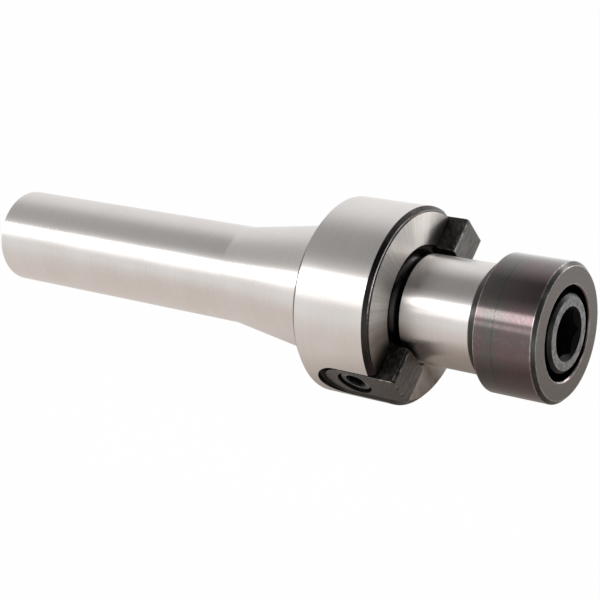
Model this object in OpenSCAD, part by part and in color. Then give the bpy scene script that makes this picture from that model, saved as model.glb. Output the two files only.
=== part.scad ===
// Shell mill arbor: a taper shank, a flange with two drive keys, a pilot, a retaining collar and its screw.
// Millimetres. The axis of the arbor is X and the cutter end points to +X.
// The origin is on the axis, in the plane of the flange's front face, where the cutter seats.

/* [Shank] */
// Diameter of the straight shank
shank_d = 24.1; // [20:0.05:28]
// Length from the tail to the large end of the taper
shank_len = 101.6; // [92:0.2:112]
// Diameter of the taper's large end
taper_d = 31.75; // [29:0.05:36]
// Included angle of the taper, in degrees
taper_angle = 16.85; // [13:0.05:22]
// Length of the plain neck between the taper and the flange
neck_len = 3.6; // [1:0.1:8]
// Chamfer round the tail
tail_chamfer = 0.7; // [0.2:0.1:1.5]
// Width of the keyway that stops the shank from turning in the spindle
keyway_w = 3.97; // [3:0.01:6]
// Depth of that keyway
keyway_depth = 2.4; // [1:0.1:3.5]
// Length of that keyway from the tail
keyway_len = 60; // [30:1:68]

/* [Drawbar thread] */
// Diameter of the drawbar's thread
drawbar_d = 11.11; // [8:0.01:14]
// Length of the drawbar's thread
drawbar_len = 32; // [20:1:45]
// Diameter of the countersink at its mouth
drawbar_mouth_d = 14.2; // [14.1:0.1:18]
// Angle of that countersink, in degrees
centre_angle = 60; // [50:1:90]

/* [Flange] */
// Diameter of the flange
flange_d = 46.8; // [42:0.1:60]
// Width of the flange
flange_w = 20.6; // [19:0.1:30]
// Chamfer round the flange's front edge
flange_front_chamfer = 1.3; // [0.3:0.1:2]
// Chamfer round the flange's rear edge
flange_rear_chamfer = 1.2; // [0.3:0.1:2.5]

/* [Pilot] */
// Diameter of the pilot that centres the cutter
pilot_d = 25.4; // [22:0.01:26]
// Length of the pilot in front of the flange
pilot_len = 19.8; // [16:0.1:30]
// Chamfer round the pilot's end
pilot_chamfer = 0.4; // [0.2:0.1:1.5]
// Radius of the round relief in the corner between pilot and flange
relief_r = 1.9; // [0.8:0.1:2.6]

/* [Drive keys] */
// Width of a drive key
key_w = 9.525; // [8:0.005:12]
// Gap between a drive key's inner face and the line of the pilot's surface
key_clear = 0.65; // [0.3:0.05:1.2]
// Length of a drive key along the arbor
key_len = 20.2; // [18:0.1:22]
// How far a drive key stands in front of the flange's face
key_out = 4.8; // [3:0.1:7]
// How far a drive key's outer face lies below the flange's rim
key_sunk = 1.05; // [0.5:0.05:2]
// Angle of the first key round the arbor's axis, from +Y towards +Z
key_angle = 225; // [0:1:359]
// Bevel on a key's long edges
key_edge = 0.2; // [0.1:0.05:0.6]
// Bevel on the two front corners of a key
key_corner = 0.5; // [0.2:0.05:1]
// Gap between a key and the close-fitting foot of its slot
key_fit = 0.05; // [0.02:0.01:0.2]
// Gap round a key in the relieved upper part of its slot
slot_relief = 0.3; // [0.2:0.05:1]
// Width of the bevel round the rim of a key's slot
slot_bevel = 1.1; // [0.5:0.1:1.3]
// Height of the close-fitting foot of the slot
slot_foot = 3; // [1:0.1:6]

/* [Key screws] */
// Thread diameter of a key screw
key_screw_d = 4.83; // [4:0.01:5.5]
// Thread pitch of a key screw
key_screw_pitch = 0.79375; // [0.5:0.00625:1]
// Length of a key screw below its head
key_screw_len = 12; // [9:0.1:13]
// Diameter of a key screw's head
key_screw_head_d = 7.9; // [7:0.1:8]
// Height of a key screw's head
key_screw_head_h = 4.83; // [3.5:0.01:5]
// Width across the flats of a key screw's socket
key_screw_hex = 3.97; // [3:0.01:4.5]
// Depth of a key screw's socket
key_screw_hex_depth = 2.4; // [1.5:0.1:3]
// Bevel round the top of a key screw's head
key_screw_head_bevel = 0.4; // [0.1:0.05:0.6]
// Distance of a key screw behind the flange's face
key_screw_back = 7.75; // [6.5:0.05:9]
// Diameter of the counterbore for a key screw's head
key_bore_d = 8.3; // [8.1:0.1:8.6]
// Depth of the head below the key's outer face
key_head_sunk = 0.6; // [0.1:0.1:1]
// Diameter of the clearance hole through a key
key_hole_d = 5.3; // [5.2:0.1:6]

/* [Retaining collar] */
// Outer diameter of the collar
collar_d = 31.8; // [28:0.1:36]
// Length of the collar
collar_len = 17.4; // [14:0.1:22]
// Chamfer round the collar's front edge
collar_front_chamfer = 0.9; // [0.3:0.1:2]
// Chamfer round the collar's rear edge
collar_rear_chamfer = 2.7; // [0.5:0.1:3]
// Diameter of the recess for the screw's head
collar_bore_d = 21.4; // [19:0.1:23]
// Thickness of the web that the screw's head clamps
collar_web = 5.7; // [3:0.1:9]
// Diameter of the hole through the web
collar_hole_d = 13; // [12.6:0.1:15]
// Bevel round the mouth of the recess
collar_bore_edge = 0.3; // [0.1:0.1:1]

/* [Retaining screw] */
// Thread diameter of the retaining screw
screw_d = 12; // [10:0.1:12.5]
// Thread pitch of the retaining screw
screw_pitch = 1.75; // [1:0.05:2]
// Length of the retaining screw below its head
screw_len = 25; // [16:0.5:26]
// Diameter of its head
screw_head_d = 18; // [15:0.1:18.6]
// Height of its head
screw_head_h = 12; // [8:0.1:13]
// Width across the flats of its socket
screw_hex = 10; // [6:0.1:11]
// Depth of its socket
screw_hex_depth = 6; // [4.5:0.1:7]
// Bevel round the top of its head
screw_head_bevel = 0.7; // [0.2:0.1:1]
// Turn of its socket from a corner straight up, in degrees
screw_turn = -3; // [-30:1:30]

/* [Threads] */
// Gap between a screw's crests and its hole, on the radius
thread_gap = 0.05; // [0.02:0.01:0.1]
// Depth of a tapped hole beyond its screw's tip
tap_spare = 1.5; // [0.5:0.1:2]
// Bevel at the mouth of a tapped hole
tap_bevel = 0.6; // [0.2:0.1:1]
// Angle of a drill's point, in degrees
drill_angle = 118; // [90:1:140]

/* [Hidden] */
$fn = 96;

steel = [0.78, 0.75, 0.72];
black_oxide = [0.20, 0.18, 0.18];
dark_zinc = [0.38, 0.38, 0.40];

// How far a cutting tool runs past the surface that it cuts
past = 1;

flange_r = flange_d / 2;
pilot_r = pilot_d / 2;
shank_r = shank_d / 2;
taper_r = taper_d / 2;

flange_back_x = -flange_w;
taper_big_x = flange_back_x - neck_len;
taper_small_x = taper_big_x - (taper_r - shank_r) / tan(taper_angle / 2);
tail_x = taper_big_x - shank_len;

drawbar_r = drawbar_d / 2;
drawbar_mouth_r = drawbar_mouth_d / 2;
drawbar_point = drawbar_r / tan(drill_angle / 2);
drawbar_mouth_h = (drawbar_mouth_r - drawbar_r) / tan(centre_angle / 2);

// The key's place: its outer face, the slot's floor just outside the pilot's surface, and its round rear end
key_top_r = flange_r - key_sunk;
key_floor_r = pilot_r + key_clear;
key_h = key_top_r - key_floor_r;
key_round_x = key_out - key_len + key_w / 2;
key_seat_r = key_top_r - key_head_sunk - key_screw_head_h;
key_tip_r = key_seat_r - key_screw_len;

// The collar bears on the pilot's end, and the screw's head on the collar's web
collar_front_x = pilot_len + collar_len;
screw_seat_x = pilot_len + collar_web;
screw_tip_x = screw_seat_x - screw_len;

// A ring of the thread: flat crest, flank, flat root, flank, with the usual depth for a 60 degree thread
function thread_depth(pitch) = 0.6134 * pitch;
function thread_ring(r, pitch, z) = [
    [r, z],
    [r, z - pitch / 8],
    [r - thread_depth(pitch), z - pitch * 7 / 16],
    [r - thread_depth(pitch), z - pitch * 11 / 16]
];

// A solid of revolution about X, from points given as radius and place along X
module turned(points) {
    rotate([0, 90, 0]) rotate_extrude() polygon(points);
}

// Carries a shape built about Z, with its open end up, to the arbor's axis, facing +X
module facing_nose(x) {
    translate([x, 0, 0]) rotate([0, 90, 0]) children();
}

// Carries a shape built with Z pointing outwards to the place of key 0 or key 1
module at_key(i) {
    rotate([key_angle - 90 + 180 * i, 0, 0]) children();
}

// A tapped hole with its mouth at z = 0, going down
module tapped_hole(d, depth) {
    r = d / 2 + thread_gap;
    point = r / tan(drill_angle / 2);
    translate([0, 0, -depth]) cylinder(r = r, h = depth + past);
    translate([0, 0, -depth - point]) cylinder(r1 = 0, r2 = r, h = point);
    translate([0, 0, -tap_bevel]) cylinder(r1 = r, r2 = r + tap_bevel + past, h = tap_bevel + past);
}

// A socket head cap screw, its head's seat at z = 0 and its shank going down
module cap_screw(d, pitch, len, head_d, head_h, hex, hex_depth, bevel) {
    r = d / 2;
    tip = thread_depth(pitch);
    count = floor((len - tip) / pitch);
    rings = [for (i = [0 : count - 1]) each thread_ring(r, pitch, -pitch * i)];
    hex_floor = head_h - hex_depth;
    hex_point = hex / 2 / tan(drill_angle / 2);
    difference() {
        rotate_extrude() polygon(concat(
            [[0, head_h], [head_d / 2 - bevel, head_h], [head_d / 2, head_h - bevel], [head_d / 2, 0]],
            rings,
            [[r, -pitch * count], [r, tip - len], [r - tip, -len], [0, -len]]
        ));
        translate([0, 0, hex_floor]) cylinder(d = hex / cos(30), h = hex_depth + past, $fn = 6);
        translate([0, 0, hex_floor - hex_point]) cylinder(r1 = 0, r2 = hex / 2, h = hex_point);
    }
}

// A slot with a gap beside the key and another behind it, its rear end round, cut outwards from a floor
module slot_cut(gap, floor_r) {
    half = key_w / 2 + gap;
    translate([key_round_x, 0, floor_r]) cylinder(r = half, h = flange_r);
    translate([key_round_x, -half, floor_r]) cube([past - key_round_x, 2 * half, flange_r]);
}

// 45 degree bevel of a slot's rim; its slope ends just under the rim beside the key
module slot_bevel_cut() {
    low = key_w / 2 + slot_relief;
    high = low + slot_bevel;
    rim_z = sqrt(flange_r * flange_r - high * high) - past / 10;
    foot = low - past / 2;
    translate([key_round_x, 0, rim_z - slot_bevel]) {
        rotate_extrude() polygon([
            [0, -past / 2], [foot, -past / 2], [high, slot_bevel], [high, flange_r], [0, flange_r]
        ]);
        rotate([90, 0, 90]) linear_extrude(past - key_round_x) polygon([
            [-foot, -past / 2], [foot, -past / 2], [high, slot_bevel],
            [high, flange_r], [-high, flange_r], [-high, slot_bevel]
        ]);
    }
}

module arbor() {
    color(steel) difference() {
        turned([
            [0, tail_x],
            [shank_r - tail_chamfer, tail_x],
            [shank_r, tail_x + tail_chamfer],
            [shank_r, taper_small_x],
            [taper_r, taper_big_x],
            [taper_r, flange_back_x],
            [flange_r - flange_rear_chamfer, flange_back_x],
            [flange_r, flange_back_x + flange_rear_chamfer],
            [flange_r, -flange_front_chamfer],
            [flange_r - flange_front_chamfer, 0],
            [pilot_r, 0],
            [pilot_r, pilot_len - pilot_chamfer],
            [pilot_r - pilot_chamfer, pilot_len],
            [0, pilot_len]
        ]);

        // Round relief in the corner between the pilot and the flange
        rotate([0, 90, 0]) rotate_extrude() translate([pilot_r, 0]) circle(r = relief_r);

        // Slots and tapped holes for the two drive keys
        for (i = [0, 1]) at_key(i) {
            slot_cut(key_fit, key_floor_r);
            slot_cut(slot_relief, key_floor_r + slot_foot);
            slot_bevel_cut();
            translate([-key_screw_back, 0, key_floor_r])
                tapped_hole(key_screw_d, key_floor_r - key_tip_r + tap_spare);
        }

        // Tapped hole for the retaining screw, in the pilot's end
        facing_nose(pilot_len) tapped_hole(screw_d, pilot_len - screw_tip_x + tap_spare);

        // Drawbar's thread in the tail, with a countersunk mouth
        translate([tail_x, 0, 0]) rotate([0, -90, 0]) {
            translate([0, 0, -drawbar_len]) cylinder(r = drawbar_r, h = drawbar_len + past);
            translate([0, 0, -drawbar_len - drawbar_point]) cylinder(r1 = 0, r2 = drawbar_r, h = drawbar_point);
            translate([0, 0, -drawbar_mouth_h])
                cylinder(r1 = drawbar_r, r2 = drawbar_mouth_r + past * tan(centre_angle / 2),
                         h = drawbar_mouth_h + past);
        }

        // Keyway along the shank, in line with the second key, with a round end
        at_key(1) translate([0, 0, shank_r - keyway_depth]) {
            translate([tail_x - past, -keyway_w / 2, 0])
                cube([keyway_len + past - keyway_w / 2, keyway_w, shank_r]);
            translate([tail_x + keyway_len - keyway_w / 2, 0, 0]) cylinder(d = keyway_w, h = shank_r);
        }
    }
}

module drive_key(i) {
    half = key_w / 2;
    color(black_oxide) at_key(i) difference() {
        intersection() {
            union() {
                // Round rear end with bevelled rims
                translate([key_round_x, 0, key_floor_r]) rotate_extrude() polygon([
                    [0, 0], [half - key_edge, 0], [half, key_edge],
                    [half, key_h - key_edge], [half - key_edge, key_h], [0, key_h]
                ]);
                // Straight part with bevelled long edges
                translate([key_round_x, 0, key_floor_r])
                    rotate([90, 0, 90]) linear_extrude(key_out - key_round_x) polygon([
                        [-half + key_edge, 0], [half - key_edge, 0], [half, key_edge],
                        [half, key_h - key_edge], [half - key_edge, key_h],
                        [-half + key_edge, key_h], [-half, key_h - key_edge], [-half, key_edge]
                    ]);
            }
            // Front corners, bevelled along their height
            translate([0, 0, key_floor_r - past]) linear_extrude(key_h + 2 * past) polygon([
                [-key_len, -key_w], [key_out - key_corner - half, -key_w],
                [key_out, -half + key_corner], [key_out, half - key_corner],
                [key_out - key_corner - half, key_w], [-key_len, key_w]
            ]);
            // Front end's upper and lower edges
            translate([0, half + past, 0]) rotate([90, 0, 0]) linear_extrude(key_w + 2 * past) polygon([
                [-key_len, key_floor_r], [key_out - key_edge, key_floor_r],
                [key_out, key_floor_r + key_edge], [key_out, key_top_r - key_edge],
                [key_out - key_edge, key_top_r], [-key_len, key_top_r]
            ]);
        }
        translate([-key_screw_back, 0, key_seat_r]) cylinder(d = key_bore_d, h = key_h);
        translate([-key_screw_back, 0, key_floor_r - past]) cylinder(d = key_hole_d, h = key_h);
    }
}

module key_screw(i) {
    color(black_oxide) at_key(i) translate([-key_screw_back, 0, key_seat_r])
        cap_screw(key_screw_d, key_screw_pitch, key_screw_len, key_screw_head_d, key_screw_head_h,
                  key_screw_hex, key_screw_hex_depth, key_screw_head_bevel);
}

module drive_key_lower() { drive_key(0); }
module drive_key_upper() { drive_key(1); }
module key_screw_lower() { key_screw(0); }
module key_screw_upper() { key_screw(1); }

module retaining_collar() {
    r = collar_d / 2;
    bore_r = collar_bore_d / 2;
    hole_r = collar_hole_d / 2;
    color(black_oxide) turned([
        [hole_r, pilot_len],
        [r - collar_rear_chamfer, pilot_len],
        [r, pilot_len + collar_rear_chamfer],
        [r, collar_front_x - collar_front_chamfer],
        [r - collar_front_chamfer, collar_front_x],
        [bore_r + collar_bore_edge, collar_front_x],
        [bore_r, collar_front_x - collar_bore_edge],
        [bore_r, screw_seat_x],
        [hole_r, screw_seat_x]
    ]);
}

module retaining_screw() {
    color(dark_zinc) facing_nose(screw_seat_x) rotate([0, 0, screw_turn])
        cap_screw(screw_d, screw_pitch, screw_len, screw_head_d, screw_head_h,
                  screw_hex, screw_hex_depth, screw_head_bevel);
}

arbor();
drive_key_lower();
drive_key_upper();
key_screw_lower();
key_screw_upper();
retaining_collar();
retaining_screw();
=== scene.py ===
import math
import bmesh
import bpy
from mathutils import Matrix, Vector


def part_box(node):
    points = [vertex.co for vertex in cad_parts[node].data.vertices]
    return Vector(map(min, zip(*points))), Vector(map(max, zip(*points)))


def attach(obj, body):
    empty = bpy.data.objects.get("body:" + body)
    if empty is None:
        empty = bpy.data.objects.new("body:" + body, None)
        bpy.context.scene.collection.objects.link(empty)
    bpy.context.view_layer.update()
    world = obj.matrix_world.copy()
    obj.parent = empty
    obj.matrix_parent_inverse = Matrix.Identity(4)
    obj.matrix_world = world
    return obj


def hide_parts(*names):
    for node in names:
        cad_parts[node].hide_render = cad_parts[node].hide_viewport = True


# Shell mill arbor: its seven pieces are turned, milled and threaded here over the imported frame, in metres.
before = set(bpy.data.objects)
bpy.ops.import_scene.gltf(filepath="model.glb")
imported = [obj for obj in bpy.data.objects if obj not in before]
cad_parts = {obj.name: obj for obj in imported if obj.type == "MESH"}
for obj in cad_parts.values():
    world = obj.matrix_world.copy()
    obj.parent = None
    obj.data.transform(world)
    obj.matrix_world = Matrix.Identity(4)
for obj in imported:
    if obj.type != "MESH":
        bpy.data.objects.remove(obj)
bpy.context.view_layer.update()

MM = 0.001
FULL_TURN = 2 * math.pi

# Ends that come from the frame
TAIL_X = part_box("arbor")[0].x
PILOT_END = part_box("arbor")[1].x
COLLAR_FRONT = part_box("retaining_collar")[1].x
SCREW_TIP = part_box("retaining_screw")[0].x
SCREW_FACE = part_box("retaining_screw")[1].x

# Shank, taper and neck
SHANK_R = 12.05 * MM
TAIL_CHAMFER = 0.7 * MM
TAPER_R = 15.875 * MM
TAPER_HALF = math.radians(16.85 / 2)
FLANGE_BACK = -20.6 * MM
TAPER_BIG_X = FLANGE_BACK - 3.6 * MM
TAPER_SMALL_X = TAPER_BIG_X - (TAPER_R - SHANK_R) / math.tan(TAPER_HALF)
TAPER_ROUND = 2 * MM
KEYWAY_W = 3.97 * MM
KEYWAY_ROUND = 0.4999 * KEYWAY_W
KEYWAY_FLOOR = SHANK_R - 2.4 * MM
KEYWAY_END = TAIL_X + 60 * MM

# Drawbar's thread
DRAWBAR_R = 5.555 * MM
DRAWBAR_PITCH = 1.27 * MM
DRAWBAR_LEN = 32 * MM
DRAWBAR_MOUTH_R = 7.1 * MM

# Flange, pilot and the relief between them
FLANGE_R = 23.4 * MM
FLANGE_FRONT_CHAMFER = 1.3 * MM
FLANGE_REAR_CHAMFER = 1.2 * MM
LIP_W = 0.2 * MM
LIP_H = 0.1 * MM
LIP_IN = 0.25 * MM
PILOT_R = 12.7 * MM
PILOT_CHAMFER = 0.4 * MM
RELIEF_R = 1.9 * MM
RELIEF_LAND = 0.2 * MM
RELIEF_STEPS = 18

# Drive keys and their slots, outwards from the axis
KEY_TURN = math.radians(225 - 90)
KEY_HALF = 9.525 / 2 * MM
KEY_TOP = FLANGE_R - 1.05 * MM
KEY_FLOOR = PILOT_R + 0.65 * MM
KEY_OUT = 4.8 * MM
KEY_ROUND_X = KEY_OUT - 20.2 * MM + KEY_HALF
KEY_CORNER = 0.5 * MM
KEY_EDGE = 0.2 * MM
SLOT_FIT = 0.05 * MM
SLOT_RELIEF = 0.3 * MM
SLOT_BEVEL = 1.1 * MM
SLOT_RIM = math.sqrt(FLANGE_R ** 2 - (KEY_HALF + SLOT_RELIEF + SLOT_BEVEL) ** 2) - 0.1 * MM
SLOT_FOOT = 3 * MM
SLOT_EDGE = 0.15 * MM

# Key screws
KEY_SCREW_X = -7.75 * MM
KEY_SCREW_R = 4.83 / 2 * MM
KEY_SCREW_PITCH = 0.79375 * MM
KEY_SCREW_LEN = 12 * MM
KEY_HEAD_R = 7.9 / 2 * MM
KEY_HEAD_H = 4.83 * MM
KEY_HEX = 3.97 * MM
KEY_HEX_DEPTH = 2.4 * MM
KEY_BORE_R = 8.3 / 2 * MM
KEY_HOLE_R = 5.3 / 2 * MM
KEY_SEAT = KEY_TOP - 0.6 * MM - KEY_HEAD_H
KEY_TIP = KEY_SEAT - KEY_SCREW_LEN

# Collar and its screw
COLLAR_R = 15.9 * MM
COLLAR_BORE_R = 10.7 * MM
COLLAR_HOLE_R = 6.5 * MM
COLLAR_FRONT_CHAMFER = 0.9 * MM
COLLAR_REAR_CHAMFER = 2.7 * MM
COLLAR_BORE_EDGE = 0.3 * MM
SCREW_SEAT = PILOT_END + 5.7 * MM
SCREW_R = 6 * MM
SCREW_PITCH = 1.75 * MM
SCREW_HEAD_R = 9 * MM
SCREW_HEX = 10 * MM
SCREW_HEX_DEPTH = 6 * MM
SCREW_TURN = math.radians(-3)

# How the tools cut
PAST = 1 * MM
EDGE = 0.12 * MM
BROKEN_EDGE = 0.6 * EDGE
END_HUB = 0.2
TAP_GAP = 0.06 * MM
TAP_SPARE = 1.5 * MM
TAP_BEVEL = 0.6 * MM
DRILL_HALF = math.radians(118 / 2)

# Threads: depth and profile in pitches, and the share of its depth that a tapped thread keeps
THREAD_DEPTH = 0.6134
THREAD_PROFILE = ((0.3125, 0), (0.28125, 1), (0.125, 0), (0.28125, -1))
THREAD_KEPT = 0.94

# Steps round each turned shape
ARBOR_STEPS = 256
COLLAR_STEPS = 192
BORE_STEPS = 96
TOOL_STEPS = 64
SOCKET_STEPS = 48
THREAD_STEPS = 40
KEY_KNURLS = 36
SCREW_KNURLS = 64
ARC_STEP = math.radians(16)

# How near two points are one, and what counts as sharp, as round and as square
TINY = 1e-9
TRIM = 1e-7
MERGE = 1e-6
SHARP_ANGLE = math.radians(40)
SMOOTH_ANGLE = math.radians(32)
FLAT_ANGLE = math.radians(1)
SQUARE = 0.99

# Where the collar's tint turns, and its worn edges
COLLAR_TINT_X = PILOT_END + 7.2 * MM
COLLAR_REAR_X = PILOT_END + COLLAR_REAR_CHAMFER
COLLAR_EDGES = (
    (COLLAR_FRONT - COLLAR_FRONT_CHAMFER, COLLAR_R),
    (COLLAR_FRONT, COLLAR_R - COLLAR_FRONT_CHAMFER),
    (COLLAR_FRONT, COLLAR_BORE_R + COLLAR_BORE_EDGE),
    (COLLAR_REAR_X, COLLAR_R),
)

# Colours of the steel, of the oxide's film, of what is worn or stained, and of painted shade and highlight
STEEL_WARM = (0.68, 0.645, 0.62)
STEEL_BRIGHT = (0.73, 0.70, 0.68)
STEEL_FINE_MARK = (0.62, 0.58, 0.555)
STEEL_BROAD_MARK = (0.60, 0.56, 0.535)
FACE_DARK_STREAK = (0.58, 0.54, 0.505)
FACE_BRIGHT_STREAK = (0.78, 0.745, 0.715)
FACE_STAIN = (0.56, 0.51, 0.47)
# Painted shade: the lower key's dark reflection on the flange's face
FACE_PAINTED_KEY_REFLECTION = (0.10, 0.075, 0.055)
OXIDE_WORN = (0.34, 0.31, 0.30)
LIP_PAINTED_HIGHLIGHT = (0.56, 0.53, 0.51)
# Painted highlight on one side of the flange's lip
KEY_WORN = (0.42, 0.40, 0.38)
FILM_GREEN = (0.080, 0.087, 0.074)
FILM_VIOLET = (0.132, 0.076, 0.084)
FILM_MARK = (0.085, 0.064, 0.060)
COLLAR_SEAM = (0.035, 0.035, 0.040)
COLLAR_END = (0.185, 0.171, 0.161)
COLLAR_WORN = (0.40, 0.37, 0.36)
SPECK_DARK = (0.060, 0.052, 0.050)
SPECK_BRIGHT = (0.20, 0.18, 0.175)
BORE_DARK = (0.003, 0.0028, 0.0027)
BORE_LIGHT = (0.007, 0.0065, 0.006)


def take(piece):
    """Makes a piece the only one selected, and active."""
    bpy.ops.object.select_all(action="DESELECT")
    piece.select_set(True)
    bpy.context.view_layer.objects.active = piece


def settle(piece):
    """Puts a piece's place and turn into its mesh."""
    take(piece)
    bpy.ops.object.transform_apply(location=True, rotation=True, scale=True)


def place(piece, matrix):
    """Moves a finished shape to its seat, with the place in its mesh."""
    piece.matrix_world = matrix
    bpy.context.view_layer.update()
    settle(piece)


def second_copy(piece, name):
    """A copy with its own mesh, half a turn round the arbor."""
    copy = piece.copy()
    copy.data = piece.data.copy()
    copy.name = name
    bpy.context.scene.collection.objects.link(copy)
    place(copy, Matrix.Rotation(math.pi, 4, "X"))
    return copy


def pick_faces(wanted):
    """In edit mode, selects the faces whose centre and normal the test accepts."""
    mesh = bmesh.from_edit_mesh(bpy.context.object.data)
    bpy.ops.mesh.select_all(action="DESELECT")
    bpy.ops.mesh.select_mode(type="FACE")
    for face in mesh.faces:
        face.select_set(wanted(face.calc_center_median(), face.normal))
    bmesh.update_edit_mesh(bpy.context.object.data)


def pick_edges(wanted):
    """In edit mode, selects the edges whose two ends the test accepts."""
    mesh = bmesh.from_edit_mesh(bpy.context.object.data)
    bpy.ops.mesh.select_all(action="DESELECT")
    bpy.ops.mesh.select_mode(type="EDGE")
    for edge in mesh.edges:
        edge.select_set(wanted(edge.verts[0].co, edge.verts[1].co))
    bmesh.update_edit_mesh(bpy.context.object.data)


def paint(piece, index, wanted):
    """In edit mode, gives the faces that the test accepts one of the piece's finishes."""
    pick_faces(wanted)
    piece.active_material_index = index
    bpy.ops.object.material_slot_assign()


def seal():
    """In edit mode, merges points that meet and turns every face outwards."""
    bpy.ops.mesh.select_all(action="SELECT")
    bpy.ops.mesh.remove_doubles(threshold=MERGE)
    bpy.ops.mesh.normals_make_consistent(inside=False)


def saw_off(x, threshold, **side):
    """In edit mode, cuts straight across at x, caps the cut and clears one side."""
    bpy.ops.mesh.select_all(action="SELECT")
    bpy.ops.mesh.bisect(plane_co=(x, 0, 0), plane_no=(1, 0, 0), use_fill=True, threshold=threshold, **side)


def radius_of(point):
    return math.hypot(point.y, point.z)


def rounded(corners, looped=False):
    """Outline points (x, radius) from corners (x, radius, rounding), with arcs of short steps."""
    points = []
    count = len(corners)
    for i, (x, r, rounding) in enumerate(corners):
        at_end = not looped and i in (0, count - 1)
        if not rounding or at_end:
            points.append((x, r))
            continue
        here = Vector((x, r))
        back = (Vector(corners[i - 1][:2]) - here).normalized()
        ahead = (Vector(corners[(i + 1) % count][:2]) - here).normalized()
        half = back.angle(ahead) / 2
        sweep = math.pi - 2 * half
        centre = here + (back + ahead).normalized() * rounding / math.sin(half)
        start = here + back * rounding / math.tan(half) - centre
        end = here + ahead * rounding / math.tan(half) - centre
        steps = max(2, math.ceil(sweep / ARC_STEP))
        for k in range(steps + 1):
            share = k / steps
            spoke = (start * math.sin((1 - share) * sweep) + end * math.sin(share * sweep)) / math.sin(sweep)
            points.append(tuple(centre + spoke))
    return points


def turn_piece(name, outline, steps, looped=False):
    """A turned solid about X: a ring is extruded and scaled from point to point of its outline."""
    x, r = outline[0]
    bpy.ops.object.select_all(action="DESELECT")
    bpy.ops.mesh.primitive_circle_add(vertices=steps, radius=r, fill_type="NOTHING" if looped else "NGON",
                                      location=(x, 0, 0), rotation=(0, math.pi / 2, 0))
    piece = bpy.context.object
    piece.name = name
    settle(piece)
    bpy.ops.object.mode_set(mode="EDIT")
    bpy.ops.mesh.select_mode(type="EDGE")
    bpy.ops.mesh.select_all(action="SELECT")
    if not looped:
        bpy.ops.mesh.region_to_loop()
    ends = outline[1:] + outline[:1] if looped else outline[1:]
    for next_x, next_r in ends:
        bpy.ops.mesh.extrude_edges_move(TRANSFORM_OT_translate={"value": (next_x - x, 0, 0)})
        if abs(next_r - r) > TINY:
            bpy.ops.transform.resize(value=(1, next_r / r, next_r / r), center_override=(next_x, 0, 0))
        x, r = next_x, next_r
    if not looped:
        bpy.ops.mesh.edge_face_add()
    seal()
    bpy.ops.object.mode_set(mode="OBJECT")
    return piece


def work(piece, tool, how="DIFFERENCE"):
    """Cuts a piece with a tool, or joins or trims it, and throws the tool away."""
    take(piece)
    cut = piece.modifiers.new("cut", "BOOLEAN")
    cut.operation = how
    cut.solver = "EXACT"
    cut.material_mode = "TRANSFER"
    cut.object = tool
    bpy.ops.object.modifier_apply(modifier=cut.name)
    bpy.data.objects.remove(tool, do_unlink=True)


def end_mill(name, front_x, half, low, high):
    """A bar with a round rear end, from low to high above the axis."""
    bpy.ops.object.select_all(action="DESELECT")
    bpy.ops.mesh.primitive_cylinder_add(vertices=TOOL_STEPS, radius=half, depth=high - low,
                                        location=(KEY_ROUND_X, 0, (high + low) / 2))
    piece = bpy.context.object
    piece.name = name
    settle(piece)
    bpy.ops.object.mode_set(mode="EDIT")
    saw_off(KEY_ROUND_X, MERGE, clear_outer=True)
    pick_faces(lambda centre, normal: normal.x > SQUARE)
    bpy.ops.mesh.extrude_region_move(TRANSFORM_OT_translate={"value": (front_x - KEY_ROUND_X, 0, 0)})
    seal()
    bpy.ops.object.mode_set(mode="OBJECT")
    return piece


def threaded_rod(name, crest_r, pitch, start, end, anchor):
    """A right-hand thread about X from start to end. Rods with one anchor and pitch mesh with each other."""
    root_r = crest_r - THREAD_DEPTH * pitch
    first = anchor + math.floor((start - anchor) / pitch - 1) * pitch
    turns = math.ceil((end - first) / pitch) + 2
    bpy.ops.object.select_all(action="DESELECT")
    bpy.ops.mesh.primitive_plane_add(size=pitch, location=(first, 0, root_r))
    rod = bpy.context.object
    rod.name = name
    settle(rod)
    bpy.ops.object.mode_set(mode="EDIT")
    bpy.ops.mesh.select_mode(type="VERT")
    bpy.ops.mesh.select_all(action="SELECT")
    bpy.ops.mesh.merge(type="CENTER")
    flank = crest_r - root_r
    for along, rise in THREAD_PROFILE:
        step = (along * pitch, 0, rise * flank)
        bpy.ops.mesh.extrude_vertices_move(TRANSFORM_OT_translate={"value": step})
    bpy.ops.object.mode_set(mode="OBJECT")
    winding = rod.modifiers.new("winding", "SCREW")
    winding.axis = "X"
    winding.angle = FULL_TURN
    winding.screw_offset = pitch
    winding.iterations = turns
    winding.steps = THREAD_STEPS
    winding.render_steps = THREAD_STEPS
    winding.use_merge_vertices = True
    winding.merge_threshold = TRIM
    winding.use_normal_calculate = True
    take(rod)
    bpy.ops.object.modifier_apply(modifier=winding.name)
    bpy.ops.object.mode_set(mode="EDIT")
    bpy.ops.mesh.select_all(action="SELECT")
    bpy.ops.mesh.remove_doubles(threshold=MERGE)
    saw_off(start, TRIM, clear_inner=True)
    saw_off(end, TRIM, clear_outer=True)
    bpy.ops.mesh.select_all(action="SELECT")
    bpy.ops.mesh.normals_make_consistent(inside=False)
    bpy.ops.object.mode_set(mode="OBJECT")
    return rod


def hex_tool(across_flats, low, high, turn):
    """A hexagonal broach about X."""
    bpy.ops.object.select_all(action="DESELECT")
    bpy.ops.mesh.primitive_cylinder_add(vertices=6, radius=across_flats / math.sqrt(3), depth=high - low,
                                        location=((high + low) / 2, 0, 0), rotation=(0, math.pi / 2, 0))
    tool = bpy.context.object
    settle(tool)
    tool.rotation_euler = (turn, 0, 0)
    settle(tool)
    return tool


def coat(piece, *names):
    """Gives a shape its finishes; the first one covers all of it."""
    for name in names:
        piece.data.materials.append(finishes[name])
    return piece


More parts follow.
